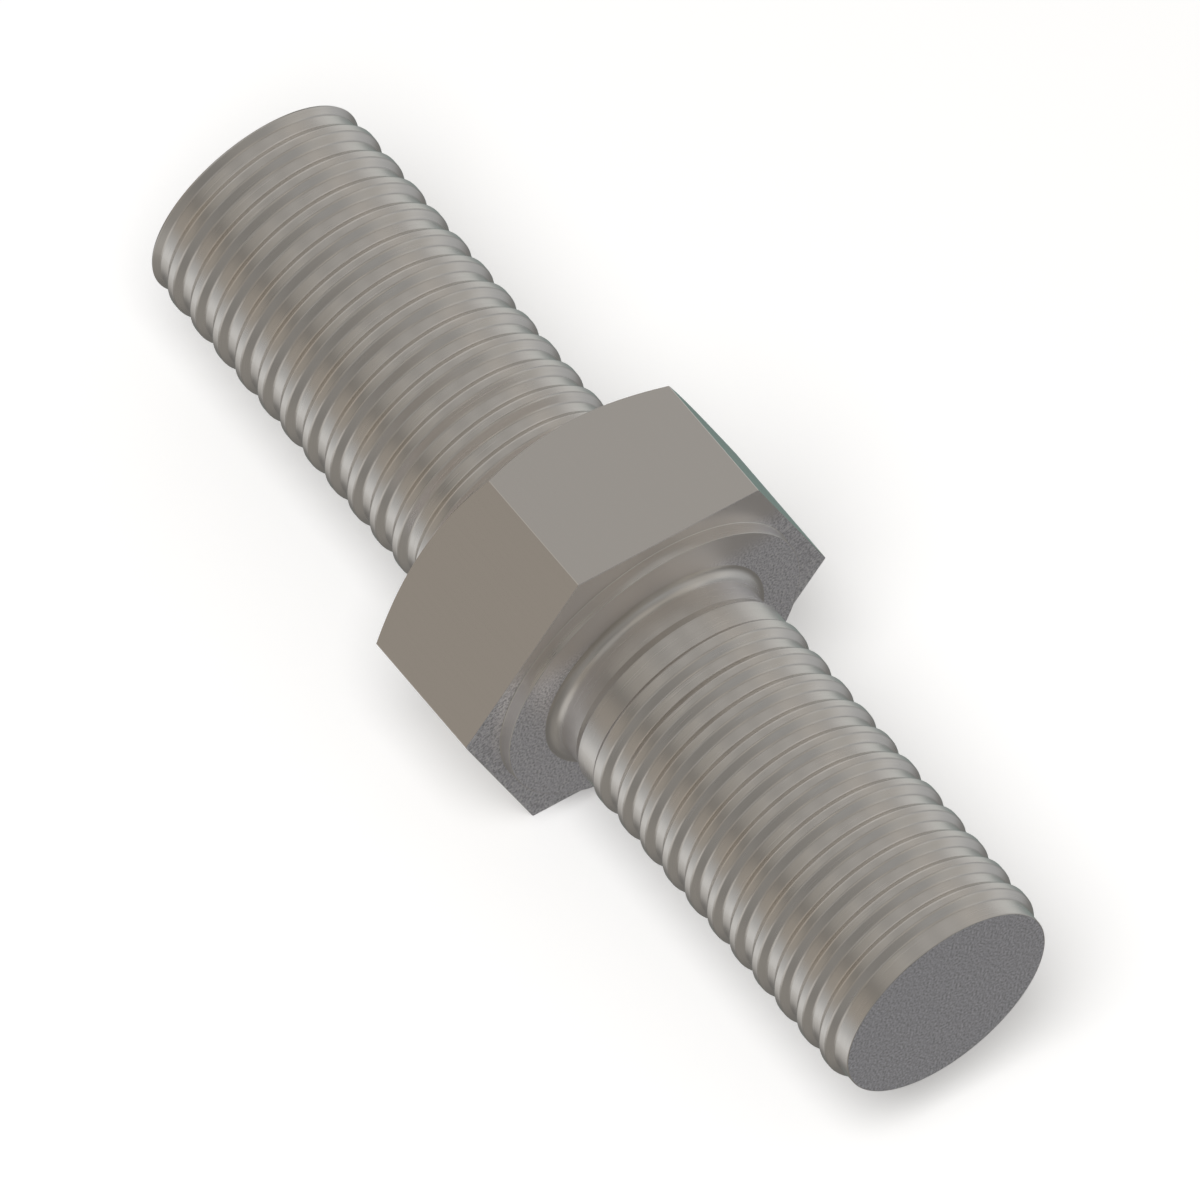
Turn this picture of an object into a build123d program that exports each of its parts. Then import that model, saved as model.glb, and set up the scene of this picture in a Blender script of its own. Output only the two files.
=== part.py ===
from build123d import *

import os
from math import radians, tan

# A stud with a thread at each end and a hexagonal collar between them, in millimetres.
# X runs along the stud, two flats of the collar face up and down, and the origin is on the axis
# at mid-length. The collar's round washer face is on its +X side.
# The threads are M12 coarse. Each is a row of level rings, as the photograph draws them, with
# flat crests and grooves that come to a line at the bottom.

# Overall length
TOTAL_LENGTH = 54.0

# Collar
ACROSS_FLATS = 18.0
HEX_HEIGHT = 7.8
CORNER_CHAMFER_ANGLE = 30
WASHER_FACE_DIAMETER = 16.6
WASHER_FACE_HEIGHT = 0.7

# Threads, and the reduced diameter of the necks beside the collar and of the near end
CREST_DIAMETER = 12.0
ROOT_DIAMETER = 11.3
PITCH = 1.75
CREST_WIDTH = 0.45
FLANK_WIDTH = 0.34
NECK_CHAMFER = 0.4

# Near thread: a neck, a low shoulder that the first crest stands on, and a plain land at the end.
# A thread's first crest is the one beside the collar, and its middle is measured from the collar.
NEAR_NECK_LENGTH = 1.6
SHOULDER_DIAMETER = 11.68
SHOULDER_RISE = 0.4
SHOULDER_LENGTH = 1.2
NEAR_FIRST_CREST = 3.71
NEAR_CREST_COUNT = 11

# Far thread: it ends in a crest that the end face cuts and a small chamfer takes down
FAR_FIRST_CREST = 1.87
FAR_CREST_COUNT = 13
FAR_END_DIAMETER = 11.7
FAR_RIM_DIAMETER = 11.82

crest_radius = CREST_DIAMETER / 2
root_radius = ROOT_DIAMETER / 2
shoulder_radius = SHOULDER_DIAMETER / 2
apothem = ACROSS_FLATS / 2
corner_cone_length = apothem * tan(radians(CORNER_CHAMFER_ANGLE))

end_x = TOTAL_LENGTH / 2
collar_far_x = -(HEX_HEIGHT + WASHER_FACE_HEIGHT) / 2
hex_near_x = collar_far_x + HEX_HEIGHT
washer_face_x = hex_near_x + WASHER_FACE_HEIGHT
near_neck_x = washer_face_x + NEAR_NECK_LENGTH
shoulder_x = near_neck_x + SHOULDER_RISE
shoulder_end_x = shoulder_x + SHOULDER_LENGTH

near_first_x = washer_face_x + NEAR_FIRST_CREST
near_last_x = near_first_x + PITCH * (NEAR_CREST_COUNT - 1)
far_first_x = collar_far_x - FAR_FIRST_CREST
far_cut_x = far_first_x - PITCH * (FAR_CREST_COUNT - 1)
far_last_x = far_cut_x + PITCH


def crests(first_x, last_x):
    """Half section of a run of flat crests and the grooves between them, in the order of x."""
    count = round((last_x - first_x) / PITCH)
    points = []
    for turn in range(count + 1):
        middle = first_x + PITCH * turn
        points += [
            (middle - PITCH / 2, root_radius),
            (middle - CREST_WIDTH / 2, crest_radius),
            (middle + CREST_WIDTH / 2, crest_radius),
        ]
    return points


with BuildPart() as hex_stud:
    # Hexagon, its far corners turned off by a cone that touches the middle of each flat
    with BuildSketch(Plane.YZ.offset(collar_far_x)):
        RegularPolygon(apothem, 6, major_radius=False)
    extrude(amount=HEX_HEIGHT)
    with BuildSketch(Plane.XY):
        Polygon(
            (collar_far_x, 0),
            (collar_far_x, apothem),
            (collar_far_x + corner_cone_length, 2 * apothem),
            (hex_near_x, 2 * apothem),
            (hex_near_x, 0),
            align=None,
        )
    revolve(axis=Axis.X, mode=Mode.INTERSECT)

    # Round washer face on the near side
    with BuildSketch(Plane.YZ.offset(hex_near_x)):
        Circle(WASHER_FACE_DIAMETER / 2)
    extrude(amount=WASHER_FACE_HEIGHT)

    # Turned stud, drawn as its half section from the far end to the near end
    with BuildSketch(Plane.XY):
        Polygon(
            (-end_x, 0),
            (-end_x, FAR_END_DIAMETER / 2),
            (far_cut_x + CREST_WIDTH / 2, FAR_RIM_DIAMETER / 2),
            *crests(far_last_x, far_first_x),
            (far_first_x + CREST_WIDTH / 2 + FLANK_WIDTH, root_radius),
            (collar_far_x - NECK_CHAMFER, root_radius),
            (collar_far_x, root_radius + NECK_CHAMFER),
            (washer_face_x, root_radius + NECK_CHAMFER),
            (washer_face_x + NECK_CHAMFER, root_radius),
            (near_neck_x, root_radius),
            (shoulder_x, shoulder_radius),
            (shoulder_end_x, shoulder_radius),
            (shoulder_end_x + crest_radius - shoulder_radius, crest_radius),
            *crests(near_first_x, near_last_x)[2:],
            (near_last_x + CREST_WIDTH / 2 + FLANK_WIDTH, root_radius),
            (end_x, root_radius),
            (end_x, 0),
            align=None,
        )
    revolve(axis=Axis.X)

hex_stud.part.label = "hex_stud"
os.makedirs("parts", exist_ok=True)
export_step(hex_stud.part, "parts/hex_stud.step")
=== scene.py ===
from math import asin, ceil, cos, degrees, radians, tan

import bmesh
import bpy
import numpy as np
from mathutils import Matrix, Vector


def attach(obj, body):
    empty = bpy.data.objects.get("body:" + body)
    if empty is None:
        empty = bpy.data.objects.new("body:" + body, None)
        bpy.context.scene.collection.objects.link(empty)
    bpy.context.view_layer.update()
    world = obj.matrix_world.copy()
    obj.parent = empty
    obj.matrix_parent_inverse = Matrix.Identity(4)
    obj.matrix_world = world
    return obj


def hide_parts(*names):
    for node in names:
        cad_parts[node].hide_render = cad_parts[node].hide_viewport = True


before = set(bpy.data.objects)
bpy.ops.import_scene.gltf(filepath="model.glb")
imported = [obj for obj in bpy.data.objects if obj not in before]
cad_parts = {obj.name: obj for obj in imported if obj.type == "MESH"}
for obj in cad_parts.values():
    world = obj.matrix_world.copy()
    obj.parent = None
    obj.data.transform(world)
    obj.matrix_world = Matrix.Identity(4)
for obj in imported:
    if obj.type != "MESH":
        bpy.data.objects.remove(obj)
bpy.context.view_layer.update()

# A steel stud with a thread at each end and a hexagonal collar between them. The photo draws the
# threads as level rings, and so does this.
# The stud's lengths are in millimetres and are turned into metres when the mesh is made. The
# lengths of the floor, the lamp, the camera and the materials are in metres. X runs along the stud,
# and angles are in degrees about X, from +Y towards +Z.

METRES = 0.001

# Turned body and collar
END_X = 27.0
COLLAR_FAR_X = -4.25
HEX_NEAR_X = 3.55
WASHER_FACE_X = 4.25
HEX_SIDES = 6
APOTHEM = 9.0
CORNER_CHAMFER_ANGLE = 30
WASHER_FACE_RADIUS = 8.3
ROOT_RADIUS = 5.65
CREST_RADIUS = 6.0
WASHER_FOOT_FILLET = 0.05
NECK_FILLET = 0.6
SHOULDER_RADIUS = 5.84
SHOULDER_FOOT_X = 5.85
SHOULDER_X = 6.25
SHOULDER_END_X = 7.45
FIRST_CREST_X = 7.61

# Thread form, and the middles of the first and last full crests of each thread
PITCH = 1.75
CREST_WIDTH = 0.45
FLANK_WIDTH = 0.34
NEAR_CRESTS = (7.96, 25.46)
FAR_CRESTS = (-25.37, -6.12)

# Far end: a crest cut by the end face and taken down by a small chamfer
FAR_END_RADIUS = 5.85
FAR_RIM_RADIUS = 5.91
FAR_RIM_X = -26.895
FAR_RIM_FOOT_X = -26.555

# Roundings of the thread's corners and breaks of the other edges
CREST_ROUNDING = 0.2
ROOT_ROUNDING = 0.2
SHOULDER_ROUNDING = 0.05
RIM_ROUNDING = 0.03
HEX_EDGE_BREAK = 0.02
TURNED_EDGE_BREAK = 0.05
WASHER_EDGE_BREAK = 0.03

# Fineness of the mesh: the most that a rounding turns from face to face, and the columns' step
FACET_TURN = 15.5
COLUMN_STEP = 2.0

# Rows that differ less than this in x are one flat face
SAME_X = 1e-6

# Points of the finished mesh that are nearer than this are welded. It is in metres, as they are
WELD_DISTANCE = 2e-7

# Shading is smooth over turns below the first angle and crisp over turns above the second
SOFT_COSINE = cos(radians(17))
SHARP_COSINE = cos(radians(22))

# The middles of the two end faces, where a face of every column meets
POLE_COUNT = 2

# Material zones of the mesh
TURNED, MILLED, FACED, CROPPED = range(4)

# Base colours of the steel: turned, milled, faced, the smoother side of the faced part in a warmer,
# darker painted shade, and cut across at the ends
TURNED_STEEL = (0.75, 0.72, 0.68, 1)
MILLED_STEEL = (0.79, 0.755, 0.71, 1)
# The faced steel's own colour, made lighter than the cut ends' by painted light that makes up for the
# shade and dark reflections that the shank gives the collar's faces
FACED_STEEL_PAINTED_LIGHTER = (0.82, 0.813, 0.85, 1)
PAINTED_SHADE_STEEL = (0.75, 0.715, 0.69, 1)
CROPPED_STEEL = (0.7, 0.7, 0.74, 1)

# The collar's faces are smoother near one side and turn there to a warmer, darker painted shade: the
# direction from the axis to that side, and the distances along it where the grain starts to fade and
# is gone and the painted shade starts and is full
SMOOTH_AND_SHADED_SIDE = Vector((0, -0.17, 0.98))
SMOOTH_AND_SHADED_REACH = (0.0035, 0.006)

# Grain: its periods per metre along each axis, how much its finer layers weigh, the range that
# most of it lies in, and its middle
FINE_GRAIN = (8000, 8000, 8000)
TURNING_GRAIN = (14000, 200, 200)
DRAWING_GRAIN = (300, 9000, 9000)
FINER_LAYERS = 0.6
USUAL_GRAIN = (0.3, 0.7)
MIDDLE_GRAIN = 0.5

# A quarter turn of the tangent, which stretches the highlights across the turning marks
ACROSS_MARKS = 0.25

# Sockets of the mix nodes, which share their names: the share, then the two numbers or colours and
# the result
MIX_SHARE = 0
MIX_NUMBERS = (2, 3)
MIX_COLOURS = (6, 7)
MIXED_NUMBER = 0
MIXED_COLOUR = 2

# Tints of the lights around the object
BROWN = (1.0, 0.87, 0.72)
WARM = (1.0, 0.94, 0.85)
NEUTRAL = (1.0, 0.985, 0.965)
COOL = (0.93, 0.99, 1.06)
TEAL = (0.8, 1.03, 1.08)
DEEP_TEAL = (0.1, 1.1, 0.9)
EVEN_TINT = (1.0, 0.975, 0.94)

# Even light from all around, then soft round lights: direction, the angles from it of full light and
# of none, brightness, tint
EVEN_LIGHT = 0.18
SURROUNDINGS = (
    ((-0.42, -0.42, -0.8), 2, 24, 0.36, NEUTRAL),
    ((-0.42, -0.65, -0.63), 2, 24, 0.28, COOL),
    ((-0.42, -0.9, -0.1), 2, 24, 0.09, BROWN),
    ((-0.42, -0.68, 0.6), 2, 24, 0.20, WARM),
    ((-0.42, -0.31, 0.85), 2, 24, 0.18, NEUTRAL),
    ((-0.42, 0.12, 0.9), 2, 24, 0.20, NEUTRAL),
    ((-0.42, 0.48, 0.77), 2, 24, 0.11, NEUTRAL),
    ((-0.42, 0.75, 0.51), 2, 24, 0.10, BROWN),
    ((-0.42, 0.88, 0.22), 2, 24, 0.12, COOL),
    ((-0.42, 0.9, -0.06), 2, 24, 0.34, NEUTRAL),
    ((-0.42, 0.84, -0.34), 2, 24, 0.14, TEAL),
    ((-0.42, 0.48, -0.77), 2, 24, 0.06, DEEP_TEAL),
    ((0.32, -0.29, -0.9), 3, 32, 0.11, WARM),
    ((0.8, -0.58, -0.18), 3, 32, 0.11, NEUTRAL),
    ((0.92, -0.05, 0.39), 3, 32, 0.11, NEUTRAL),
    ((0.8, 0.46, 0.39), 3, 32, 0.15, COOL),
    ((0.59, 0.8, 0.12), 3, 32, 0.21, WARM),
    ((0.32, 0.91, -0.26), 3, 32, 0.30, COOL),
    ((0.12, -0.84, -0.54), 3, 30, 0.44, NEUTRAL),
    ((0.27, -0.96, 0.06), 3, 30, 0.16, BROWN),
    ((0.34, -0.7, 0.63), 3, 30, 0.22, NEUTRAL),
    ((0.36, -0.1, 0.93), 3, 30, 0.29, WARM),
    ((0.27, 0.6, 0.75), 3, 30, 0.28, WARM),
    ((0.1, 0.9, 0.4), 3, 30, 0.22, COOL),
    ((-0.9, -0.2, 0.39), 3, 32, 0.39, NEUTRAL),
    ((-0.77, 0.47, 0.43), 3, 32, 0.42, NEUTRAL),
    ((-0.77, -0.62, -0.15), 3, 32, 0.30, BROWN),
)

# Camera: orthographic, and its own axes seen from the object
CAMERA_BACK = Vector((0.4226, -0.4297, 0.7980)).normalized()
CAMERA_RIGHT = Vector((0.5908, 0.7983, 0.1169)).normalized()
CAMERA_WIDTH = 0.05532
CAMERA_DISTANCE = 0.3

# Floor just under the flat that the stud rests on, and the lamp that gives it its soft shadow
FLOOR_HEIGHT = -0.00901
FLOOR_REACH = 10.0
FLOOR_GLOW = 0.25
FLOOR_COLOUR = (0.8, 0.8, 0.8, 1)
WHITE = (1, 1, 1, 1)
LAMP_DIRECTION = Vector((0.25, -0.45, 0.86)).normalized()
LAMP_DISTANCE = 0.5
LAMP_SIZE = 0.3
LAMP_POWER = 2.0


def column_angles():
    """Angles of the mesh's columns, with a pair at each hexagon corner in place of the corner."""
    even = np.arange(0, 360, COLUMN_STEP)
    corners = np.arange(HEX_SIDES + 1) * 360 / HEX_SIDES
    corner_radius = APOTHEM / cos(radians(180 / HEX_SIDES))
    half_break = degrees(asin(HEX_EDGE_BREAK / corner_radius))
    kept = [angle for angle in even if np.abs(corners - angle).min() > half_break]
    return np.sort(np.concatenate([kept, corners[1:] - half_break, corners[:-1] + half_break]))


def hexagon_radius(angles):
    """Distance from the axis to the hexagon at each angle."""
    side = 360 / HEX_SIDES
    from_middle = angles % side - side / 2
    return APOTHEM / np.cos(np.radians(from_middle))


def crests(first_x, last_x):
    """Corners of a run of thread crests, whose middles go from the first x to the last."""
    half = CREST_WIDTH / 2
    corners = []
    for middle in np.arange(first_x, last_x + PITCH / 2, PITCH):
        corners += [
            (middle - half - FLANK_WIDTH, ROOT_RADIUS, ROOT_ROUNDING),
            (middle - half, CREST_RADIUS, CREST_ROUNDING),
            (middle + half, CREST_RADIUS, CREST_ROUNDING),
            (middle + half + FLANK_WIDTH, ROOT_RADIUS, ROOT_ROUNDING),
        ]
    return corners


def rounded(corners):
    """Points of x and radius along a half section, with each inner corner rounded."""
    places = [Vector((x, radius)) for x, radius, rounding in corners]
    points = [places[0]]
    for before, here, after, corner in zip(places, places[1:], places[2:], corners[1:]):
        rounding = corner[2]
        arriving = (here - before).normalized()
        leaving = (after - here).normalized()
        turn = leaving.angle_signed(arriving)
        side = 1 if turn > 0 else -1
        start = here - arriving * rounding * tan(abs(turn) / 2)
        centre = start + Vector((-arriving.y, arriving.x)) * rounding * side
        steps = ceil(degrees(abs(turn)) / FACET_TURN) if rounding else 0
        points += [
            centre + Matrix.Rotation(turn * step / max(steps, 1), 2) @ (start - centre)
            for step in range(steps + 1)
        ]
    return [*points, places[-1]]


def turned_rows(corners, angles):
    """Rows of the mesh for a turned half section, and the zone of each gap between them."""
    points = rounded(corners)
    rows = [(np.full_like(angles, x), np.full_like(angles, radius)) for x, radius in points]
    zones = []
    for (x0, _), (x1, _) in zip(points, points[1:]):
        if abs(x1 - x0) > SAME_X:
            zones.append(TURNED)
        elif abs(x0) > WASHER_FACE_X:
            zones.append(CROPPED)
        else:
            zones.append(FACED)
    return rows, zones


def body_rows(angles):
    """All rows of the mesh from the far end to the near end, and the zone of each gap."""
    far_rows, far_zones = turned_rows(
        [
            (-END_X, 0, 0),
            (-END_X, FAR_END_RADIUS, RIM_ROUNDING),
            (FAR_RIM_X, FAR_RIM_RADIUS, RIM_ROUNDING),
            (FAR_RIM_FOOT_X, ROOT_RADIUS, ROOT_ROUNDING),
            *crests(*FAR_CRESTS),
            (COLLAR_FAR_X, ROOT_RADIUS, NECK_FILLET),
            (COLLAR_FAR_X, APOTHEM, 0),
        ],
        angles,
    )
    near_rows, near_zones = turned_rows(
        [
            (HEX_NEAR_X, WASHER_FACE_RADIUS + WASHER_FOOT_FILLET, 0),
            (HEX_NEAR_X, WASHER_FACE_RADIUS, WASHER_FOOT_FILLET),
            (WASHER_FACE_X, WASHER_FACE_RADIUS, WASHER_EDGE_BREAK),
            (WASHER_FACE_X, ROOT_RADIUS, NECK_FILLET),
            (SHOULDER_FOOT_X, ROOT_RADIUS, SHOULDER_ROUNDING),
            (SHOULDER_X, SHOULDER_RADIUS, SHOULDER_ROUNDING),
            (SHOULDER_END_X, SHOULDER_RADIUS, SHOULDER_ROUNDING),
            # The first crest's far side rises from the shoulder, not from a groove
            (FIRST_CREST_X, CREST_RADIUS, CREST_ROUNDING),
            *crests(*NEAR_CRESTS)[2:],
            (END_X, ROOT_RADIUS, TURNED_EDGE_BREAK),
            (END_X, 0, 0),
        ],
        angles,
    )
    hexagon = hexagon_radius(angles)
    chamfer_x = COLLAR_FAR_X + (hexagon - APOTHEM) * tan(radians(CORNER_CHAMFER_ANGLE))
    hex_rows = [
        (chamfer_x, hexagon),
        (np.full_like(angles, HEX_NEAR_X - HEX_EDGE_BREAK), hexagon),
        (np.full_like(angles, HEX_NEAR_X), hexagon - HEX_EDGE_BREAK),
    ]
    zones = [*far_zones, TURNED, MILLED, MILLED, FACED, *near_zones]
    return [*far_rows, *hex_rows, *near_rows], zones


def stud_mesh():
    """The whole stud as one closed mesh."""
    angles = column_angles()
    rows, zones = body_rows(angles)
    x = np.array([row[0] for row in rows])
    radius = np.array([row[1] for row in rows])
    turn = np.radians(angles)
    points = np.stack([x, radius * np.cos(turn), radius * np.sin(turn)], axis=-1) * METRES
    row_count, column_count = x.shape
    here = np.arange(column_count)
    after = np.roll(here, -1)
    bases = np.arange(row_count - 1)[:, None] * column_count
    faces = np.stack(
        [bases + here, bases + after, bases + column_count + after, bases + column_count + here],
        axis=-1,
    )
    mesh = bpy.data.meshes.new("hex_stud_steel")
    mesh.from_pydata(points.reshape(-1, 3).tolist(), [], faces.reshape(-1, 4).tolist())
    mesh.polygons.foreach_set("material_index", np.repeat(zones, column_count))
    work = bmesh.new()
    work.from_mesh(mesh)
    bmesh.ops.remove_doubles(work, verts=work.verts, dist=WELD_DISTANCE)
    work.to_mesh(mesh)
    work.free()
    soften(mesh)
    return mesh


def soften(mesh):
    """Smooths the shading across shallow edges and keeps it crisp across steep ones.

    Each corner's normal is the mean of the faces around its vertex, weighted by the square of their
    area and by how little they turn from the corner's own face. Corners at the two poles count fewer
    faces.
    """
    face_count = len(mesh.polygons)
    normals = np.empty(face_count * 3)
    areas = np.empty(face_count)
    sizes = np.empty(face_count, dtype=int)
    vertices = np.empty(len(mesh.loops), dtype=int)
    mesh.polygons.foreach_get("normal", normals)
    mesh.polygons.foreach_get("area", areas)
    mesh.polygons.foreach_get("loop_total", sizes)
    mesh.loops.foreach_get("vertex_index", vertices)
    normals = normals.reshape(-1, 3)
    faces = np.repeat(np.arange(face_count), sizes)
    order = np.argsort(vertices, kind="stable")
    counts = np.bincount(vertices)
    starts = np.concatenate([[0], np.cumsum(counts)[:-1]])
    rank = np.arange(len(order)) - starts[vertices[order]]
    totals = np.zeros((len(vertices), 3))
    most = np.sort(counts)[-1 - POLE_COUNT]
    for step in range(most):
        has = counts[vertices[order]] > step
        mine = order[has]
        other = order[starts[vertices[mine]] + (rank[has] + step) % counts[vertices[mine]]]
        cosine = (normals[faces[mine]] * normals[faces[other]]).sum(axis=1)
        share = np.clip((cosine - SHARP_COSINE) / (SOFT_COSINE - SHARP_COSINE), 0, 1)
        weight = share * areas[faces[other]] ** 2
        totals[mine] += weight[:, None] * normals[faces[other]]
    totals /= np.linalg.norm(totals, axis=1)[:, None]
    mesh.polygons.foreach_set("use_smooth", np.ones(face_count, dtype=bool))
    mesh.normals_split_custom_set(totals.tolist())


def add_node(tree, kind, inputs, **settings):
    """A new node, with its inputs set to values or linked to other nodes' outputs."""
    node = tree.nodes.new(kind)
    for name, value in settings.items():
        setattr(node, name, value)
    for name, value in inputs.items():
        if isinstance(value, bpy.types.NodeSocket):
            tree.links.new(value, node.inputs[name])
        else:
            node.inputs[name].default_value = value
    return node


def object_place(tree):
    """Where a point of the surface is on the object."""
    return tree.nodes.new("ShaderNodeTexCoord").outputs["Object"]


def noise(tree, periods, layers):
    """Grain with some periods per metre along each axis and some finer layers."""
    place = {"Vector": object_place(tree), "Scale": periods}
    scaled = add_node(tree, "ShaderNodeMapping", place)
    inputs = {
        "Vector": scaled.outputs["Vector"],
        "Scale": 1.0,
        "Detail": layers,
        "Roughness": FINER_LAYERS,
    }
    return add_node(tree, "ShaderNodeTexNoise", inputs).outputs["Fac"]


def spread(tree, grain, low, high):
    """Grain turned into a number between two values."""
    inputs = {
        "Value": grain,
        "From Min": USUAL_GRAIN[0],
        "From Max": USUAL_GRAIN[1],
        "To Min": low,
        "To Max": high,
    }
    return add_node(tree, "ShaderNodeMapRange", inputs).outputs["Result"]


def steel(name, colour, marks, metallic, roughness, shade, relief, anisotropy=0.0):
    """Bare steel with tool marks in its colour, roughness and relief.

    The colour is a plain one or a function that makes one. The shade is how much the marks lighten
    and darken it, and the relief is how high they stand.
    """
    material = bpy.data.materials.new(name)
    material.use_nodes = True
    tree = material.node_tree
    shader = tree.nodes["Principled BSDF"]
    height = marks(tree)
    tone = spread(tree, height, 1 - shade, 1 + shade)
    base = colour(tree) if callable(colour) else colour[:3]
    shaded = add_node(tree, "ShaderNodeVectorMath", {0: base, "Scale": tone}, operation="SCALE")
    tree.links.new(shaded.outputs["Vector"], shader.inputs["Base Color"])
    tree.links.new(spread(tree, height, roughness[1], roughness[0]), shader.inputs["Roughness"])
    bump = add_node(tree, "ShaderNodeBump", {"Height": height, "Strength": 1.0, "Distance": relief})
    tree.links.new(bump.outputs["Normal"], shader.inputs["Normal"])
    shader.inputs["Metallic"].default_value = metallic
    if anisotropy:
        tangent = add_node(tree, "ShaderNodeTangent", {}, direction_type="RADIAL", axis="X")
        tree.links.new(tangent.outputs["Tangent"], shader.inputs["Tangent"])
        shader.inputs["Anisotropic"].default_value = anisotropy
        shader.inputs["Anisotropic Rotation"].default_value = ACROSS_MARKS
    return material


def fine_grain(tree):
    """Even grain about an eighth of a millimetre wide."""
    return noise(tree, FINE_GRAIN, layers=1.0)


def grain_share_and_painted_shade_mask(tree):
    """How strongly the grain shows on the collar's faces, from 0 to 1; the painted shade shows as it
    fades.
    """
    inputs = {0: object_place(tree), 1: SMOOTH_AND_SHADED_SIDE}
    reach = add_node(tree, "ShaderNodeVectorMath", inputs, operation="DOT_PRODUCT")
    fade = {
        "Value": reach.outputs["Value"],
        "From Min": SMOOTH_AND_SHADED_REACH[0],
        "From Max": SMOOTH_AND_SHADED_REACH[1],
        "To Min": 1.0,
        "To Max": 0.0,
    }
    return add_node(tree, "ShaderNodeMapRange", fade, interpolation_type="SMOOTHSTEP").outputs["Result"]


def fading_grain(tree):
    """Even grain that fades out on the smoother side."""
    smooth_and_shaded, grainy = MIX_NUMBERS
    inputs = {MIX_SHARE: grain_share_and_painted_shade_mask(tree), smooth_and_shaded: MIDDLE_GRAIN, grainy: fine_grain(tree)}
    return add_node(tree, "ShaderNodeMix", inputs, data_type="FLOAT").outputs[MIXED_NUMBER]


def faced_colour_with_painted_shade(tree):
    """The colour of the collar's faces, turning to a warmer, darker painted shade on the smoother side.
    """
    smooth_and_shaded, grainy = MIX_COLOURS
    # The plain faced colour is made lighter by painted light that makes up for the shank's shade
    inputs = {MIX_SHARE: grain_share_and_painted_shade_mask(tree), smooth_and_shaded: PAINTED_SHADE_STEEL, grainy: FACED_STEEL_PAINTED_LIGHTER}
    return add_node(tree, "ShaderNodeMix", inputs, data_type="RGBA").outputs[MIXED_COLOUR]


def turning_marks(tree):
    """Fine marks that run around the stud."""
    return noise(tree, TURNING_GRAIN, layers=3.0)


def drawing_marks(tree):
    """Faint lines along the stud on the hexagon's flats."""
    return noise(tree, DRAWING_GRAIN, layers=1.0)


def build_floor():
    """A plain pale floor that takes the stud's soft shadow."""
    mesh = bpy.data.meshes.new("floor")
    corners = [(-1, -1), (1, -1), (1, 1), (-1, 1)]
    points = [(x * FLOOR_REACH, y * FLOOR_REACH, FLOOR_HEIGHT) for x, y in corners]
    mesh.from_pydata(points, [], [(0, 1, 2, 3)])
    floor = bpy.data.objects.new("floor", mesh)
    bpy.context.scene.collection.objects.link(floor)
    floor.visible_glossy = False
    material = bpy.data.materials.new("floor")
    material.use_nodes = True
    shader = material.node_tree.nodes["Principled BSDF"]
    shader.inputs["Base Color"].default_value = FLOOR_COLOUR
    shader.inputs["Roughness"].default_value = 1.0
    shader.inputs["Specular IOR Level"].default_value = 0.0
    shader.inputs["Emission Color"].default_value = WHITE
    shader.inputs["Emission Strength"].default_value = FLOOR_GLOW
    mesh.materials.append(material)


def build_lamp():
    """A large soft lamp above the stud."""
    data = bpy.data.lights.new("lamp", "AREA")
    data.shape = "DISK"
    data.size = LAMP_SIZE
    data.energy = LAMP_POWER
    lamp = bpy.data.objects.new("lamp", data)
    lamp.location = LAMP_DIRECTION * LAMP_DISTANCE
    lamp.rotation_euler = LAMP_DIRECTION.to_track_quat("Z", "Y").to_euler()
    lamp.visible_glossy = False
    bpy.context.scene.collection.objects.link(lamp)


def build_camera():
    """The camera at the photo's angle."""
    data = bpy.data.cameras.new("camera")
    data.type = "ORTHO"
    data.ortho_scale = CAMERA_WIDTH
    camera = bpy.data.objects.new("camera", data)
    up = CAMERA_BACK.cross(CAMERA_RIGHT)
    rotation = Matrix((CAMERA_RIGHT, up, CAMERA_BACK)).transposed().to_4x4()
    camera.matrix_world = Matrix.Translation(CAMERA_BACK * CAMERA_DISTANCE) @ rotation
    bpy.context.scene.collection.objects.link(camera)
    bpy.context.scene.camera = camera


def tinted(brightness, tint):
    """A light's colour from its brightness and its tint."""
    return [brightness * part for part in tint]


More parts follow.
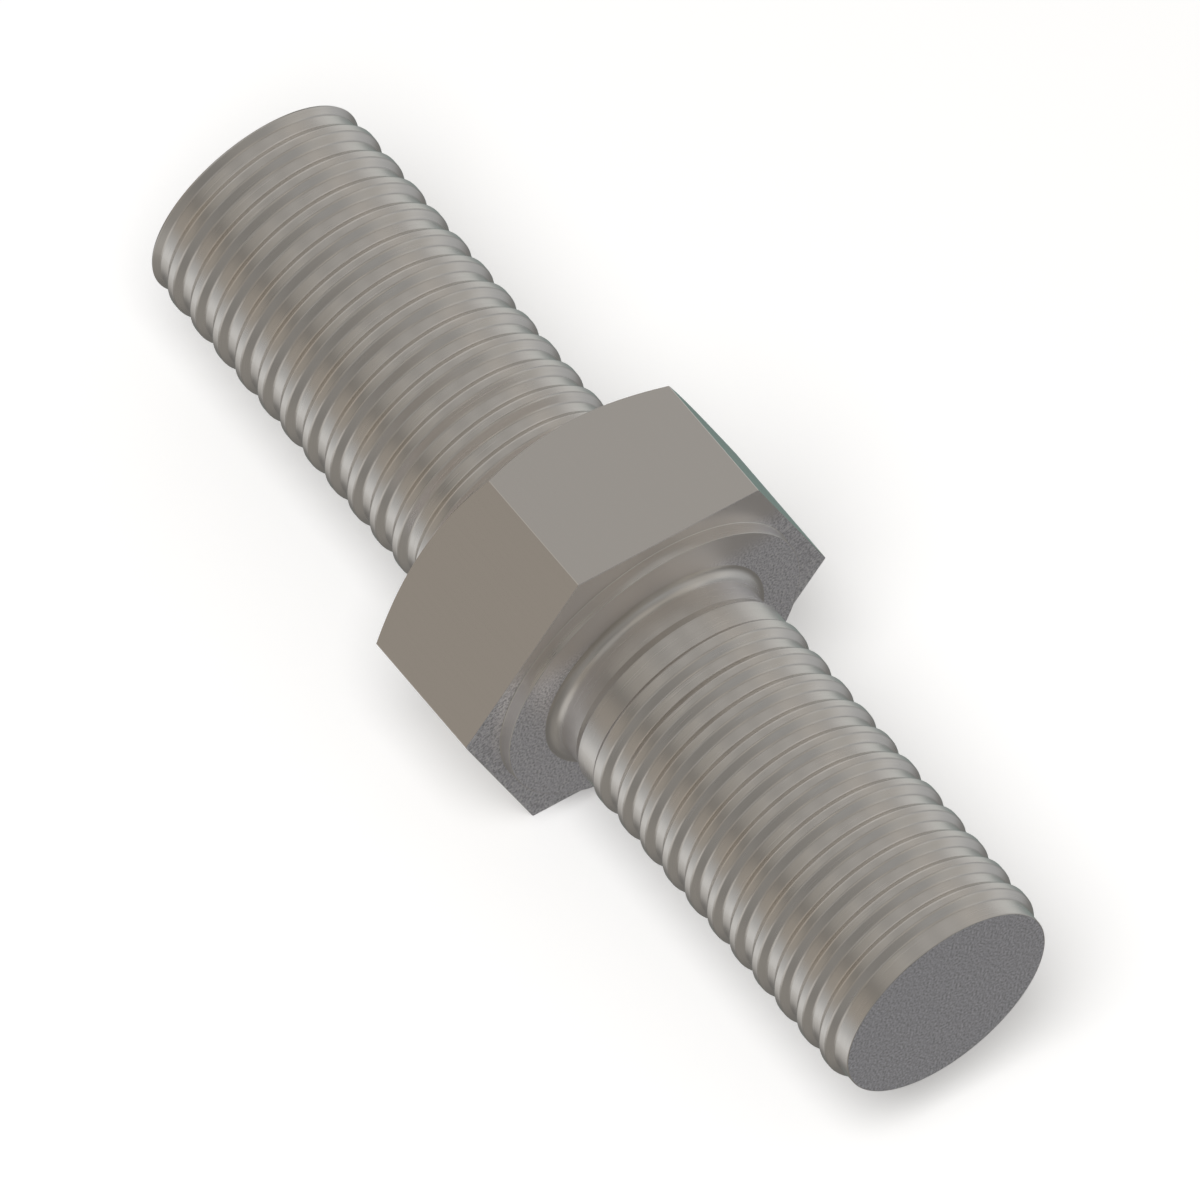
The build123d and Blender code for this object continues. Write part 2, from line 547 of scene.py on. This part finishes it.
def glow(tree, where, axis, inner, outer, colour):
    """Light from a round patch, full within one angle of its axis and gone past another."""
    directions = {0: where, 1: Vector(axis).normalized()}
    nearness = add_node(tree, "ShaderNodeVectorMath", directions, operation="DOT_PRODUCT")
    fade = {
        "Value": nearness.outputs["Value"],
        "From Min": cos(radians(outer)),
        "From Max": cos(radians(inner)),
    }
    share = add_node(tree, "ShaderNodeMapRange", fade, interpolation_type="SMOOTHSTEP")
    inputs = {0: colour, "Scale": share.outputs["Result"]}
    return add_node(tree, "ShaderNodeVectorMath", inputs, operation="SCALE").outputs["Vector"]


def build_surroundings():
    """Soft studio light from all around, brighter from some sides."""
    world = bpy.data.worlds.new("world")
    world.use_nodes = True
    tree = world.node_tree
    where = tree.nodes.new("ShaderNodeTexCoord").outputs["Generated"]
    total = tinted(EVEN_LIGHT, EVEN_TINT)
    for axis, inner, outer, brightness, tint in SURROUNDINGS:
        patch = glow(tree, where, axis, inner, outer, tinted(brightness, tint))
        inputs = {0: total, 1: patch}
        total = add_node(tree, "ShaderNodeVectorMath", inputs, operation="ADD").outputs["Vector"]
    tree.links.new(total, tree.nodes["Background"].inputs["Color"])
    bpy.context.scene.world = world


stud = bpy.data.objects.new("hex_stud_steel", stud_mesh())
bpy.context.scene.collection.objects.link(stud)
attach(stud, "root")
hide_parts("hex_stud")

# In the order of the zones
stud.data.materials.append(
    steel(
        "turned_steel",
        colour=TURNED_STEEL,
        marks=turning_marks,
        metallic=1.0,
        roughness=(0.27, 0.3),
        shade=0.025,
        relief=1e-6,
        anisotropy=0.4,
    )
)
stud.data.materials.append(
    steel(
        "milled_steel",
        colour=MILLED_STEEL,
        marks=drawing_marks,
        metallic=1.0,
        roughness=(0.1, 0.11),
        shade=0.006,
        relief=1e-8,
    )
)
# The collar's faces, with a warmer, darker painted shade on their smoother side
stud.data.materials.append(
    steel(
        "faced_steel_with_painted_shade",
        colour=faced_colour_with_painted_shade,
        marks=fading_grain,
        metallic=0.9,
        roughness=(0.36, 0.44),
        shade=0.34,
        relief=4e-7,
    )
)
stud.data.materials.append(
    steel(
        "cropped_steel",
        colour=CROPPED_STEEL,
        marks=fine_grain,
        metallic=0.9,
        roughness=(0.4, 0.5),
        shade=0.32,
        relief=4e-7,
    )
)

build_floor()
build_lamp()
build_camera()
build_surroundings()
bpy.context.scene.view_settings.view_transform = "Standard"
